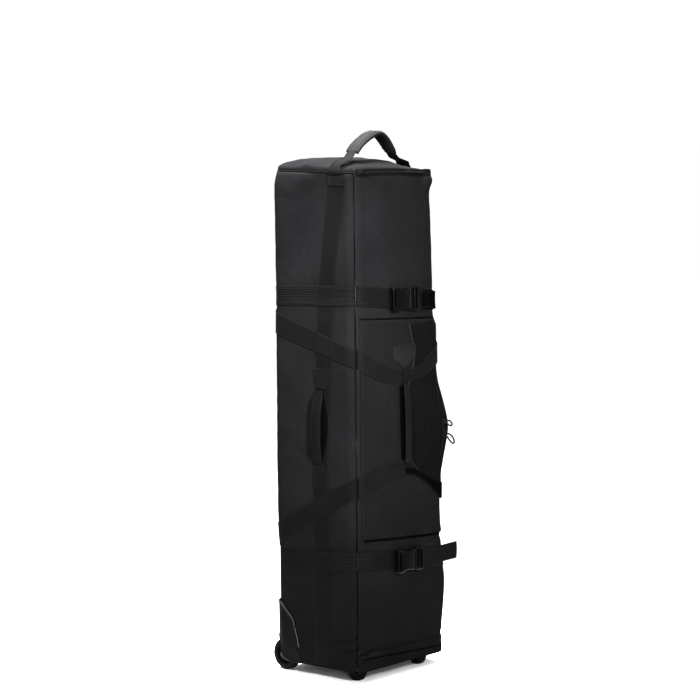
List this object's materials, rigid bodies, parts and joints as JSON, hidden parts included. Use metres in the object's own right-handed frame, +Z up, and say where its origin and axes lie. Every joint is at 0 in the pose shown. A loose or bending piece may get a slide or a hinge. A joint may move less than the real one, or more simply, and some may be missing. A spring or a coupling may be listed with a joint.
{
  "type": "golf travel case",
  "caption": "Tall wheeled soft travel case for a golf bag, with a zipped front door, buckled straps, haul grips and a moulded base.",
  "frame": {"origin": "middle of the case's box on the ground it stands on", "axes": "+X to the right of somebody facing the front, -Y out of the front, +Z up"},
  "size_m": [0.3806, 0.3646, 1.3461],
  "materials": {
    "shell_fabric": "fine plain-weave polyester, padded",
    "webbing": "ribbed woven strap",
    "moulded_plastic": "fine matte texture",
    "buckle_plastic": "polished acetal",
    "stiff_board": "smooth sheet",
    "zip": "coil zip and tape",
    "tyre_rubber": "moulded, satin",
    "axle_steel": "plated",
    "patch": "soft moulded, slight sheen",
    "cord": "moulded cord and tip"
  },
  "bodies": {
    "case": {"base_tray": "moulded_plastic", "back_panel": "shell_fabric", "back_stiffener": "stiff_board", "top_panel": "shell_fabric", "case_zip_tape": "zip", "inner_strap": "webbing", "left_side_panel": "shell_fabric", "left_spine_strap": "webbing", "left_wheel_guard": "moulded_plastic", "left_wheel_bracket": "moulded_plastic", "left_axle": "axle_steel", "left_front_foot": "moulded_plastic", "left_side_strap_upper": "webbing", "left_haul_strap_upper_side": "webbing", "left_side_strap_lower": "webbing", "left_haul_strap_lower_side": "webbing", "right_side_panel": "shell_fabric", "right_spine_strap": "webbing", "right_wheel_guard": "moulded_plastic", "right_wheel_bracket": "moulded_plastic", "right_axle": "axle_steel", "right_front_foot": "moulded_plastic", "right_side_strap_upper": "webbing", "right_haul_strap_upper_side": "webbing", "right_side_strap_lower": "webbing", "right_haul_strap_lower_side": "webbing"},
    "door": {"door_panel": "shell_fabric", "door_gusset": "shell_fabric", "door_zip_tape": "zip", "shield_patch": "patch", "pocket_panel": "shell_fabric", "pocket_zip_tape": "zip", "buckle_socket_upper": "buckle_plastic", "buckle_socket_lower": "buckle_plastic", "left_front_strap_upper": "webbing", "left_haul_strap_upper_front": "webbing", "left_front_strap_lower": "webbing", "left_haul_strap_lower_front": "webbing", "right_front_strap_upper": "webbing", "right_haul_strap_upper_front": "webbing", "right_front_strap_lower": "webbing", "right_haul_strap_lower_front": "webbing"},
    "left_wheel": {"left_tyre": "tyre_rubber", "left_hub": "moulded_plastic", "left_bearing": "axle_steel"},
    "right_wheel": {"right_tyre": "tyre_rubber", "right_hub": "moulded_plastic", "right_bearing": "axle_steel"},
    "upper_plug": {"buckle_plug_upper": "buckle_plastic"},
    "lower_plug": {"buckle_plug_lower": "buckle_plastic"},
    "zip_slider_top": {"case_slider_top": "zip"},
    "zip_slider_bottom": {"case_slider_bottom": "zip"},
    "pocket_zip_upper": {"pocket_slider_upper": "zip"},
    "cord_pull_upper": {"pocket_pull_upper": "cord"},
    "pocket_zip_lower": {"pocket_slider_lower": "zip"},
    "cord_pull_lower": {"pocket_pull_lower": "cord"},
    "front_grip": {"haul_grip": "webbing"},
    "side_grip": {"side_handle": "webbing"},
    "carry_handle": {"top_handle": "webbing"}
  },
  "joints": [
    {"name": "door_hinge", "type": "hinge", "parent": "case", "child": "door", "pos_m": [-0.17175, -0.1117, 0.06], "axis": [-0.0158, -0.0249, -0.9996], "range_deg": [0, 130]},
    {"name": "left_wheel_spin", "type": "hinge", "parent": "case", "child": "left_wheel", "pos_m": [-0.138, 0.1423, 0.04], "axis": [1, 0, 0], "continuous": true},
    {"name": "right_wheel_spin", "type": "hinge", "parent": "case", "child": "right_wheel", "pos_m": [0.138, 0.1423, 0.04], "axis": [1, 0, 0], "continuous": true},
    {"name": "upper_buckle_release", "type": "slide", "parent": "door", "child": "upper_plug", "axis": [1, 0, 0], "range_m": [0, 0.03]},
    {"name": "lower_buckle_release", "type": "slide", "parent": "door", "child": "lower_plug", "axis": [1, 0, 0], "range_m": [0, 0.03]},
    {"name": "zip_slider_top_run", "type": "slide", "parent": "door", "child": "zip_slider_top", "axis": [1, 0, 0], "range_m": [0, 0.23]},
    {"name": "zip_slider_bottom_run", "type": "slide", "parent": "door", "child": "zip_slider_bottom", "axis": [1, 0, 0], "range_m": [0, 0.23]},
    {"name": "pocket_zip_upper_run", "type": "slide", "parent": "door", "child": "pocket_zip_upper", "axis": [0, 0.025, 0.9997], "range_m": [0, 0.09]},
    {"name": "pocket_zip_lower_run", "type": "slide", "parent": "door", "child": "pocket_zip_lower", "axis": [0, -0.025, -0.9997], "range_m": [0, 0.045]},
    {"name": "cord_pull_upper_swing", "type": "hinge", "parent": "pocket_zip_upper", "child": "cord_pull_upper", "pos_m": [0.128, -0.1546, 0.622], "axis": [1, 0, 0], "range_deg": [-25, 30]},
    {"name": "cord_pull_lower_swing", "type": "hinge", "parent": "pocket_zip_lower", "child": "cord_pull_lower", "pos_m": [0.128, -0.15546, 0.59], "axis": [1, 0, 0], "range_deg": [-25, 30]},
    {"name": "front_grip_swing", "type": "hinge", "parent": "door", "child": "front_grip", "pos_m": [0, -0.11907, 0.63], "axis": [0, 0.025, 0.9997], "range_deg": [-25, 25]},
    {"name": "side_grip_swing", "type": "hinge", "parent": "case", "child": "side_grip", "pos_m": [-0.16482, 0.0103, 0.625], "axis": [0.0158, 0, 0.9999], "range_deg": [-30, 30]},
    {"name": "carry_handle_swing", "type": "hinge", "parent": "case", "child": "carry_handle", "pos_m": [-0.1595, -0.0277, 1.247], "axis": [0.994, 0.1091, 0], "range_deg": [-12, 15]}
  ]
}
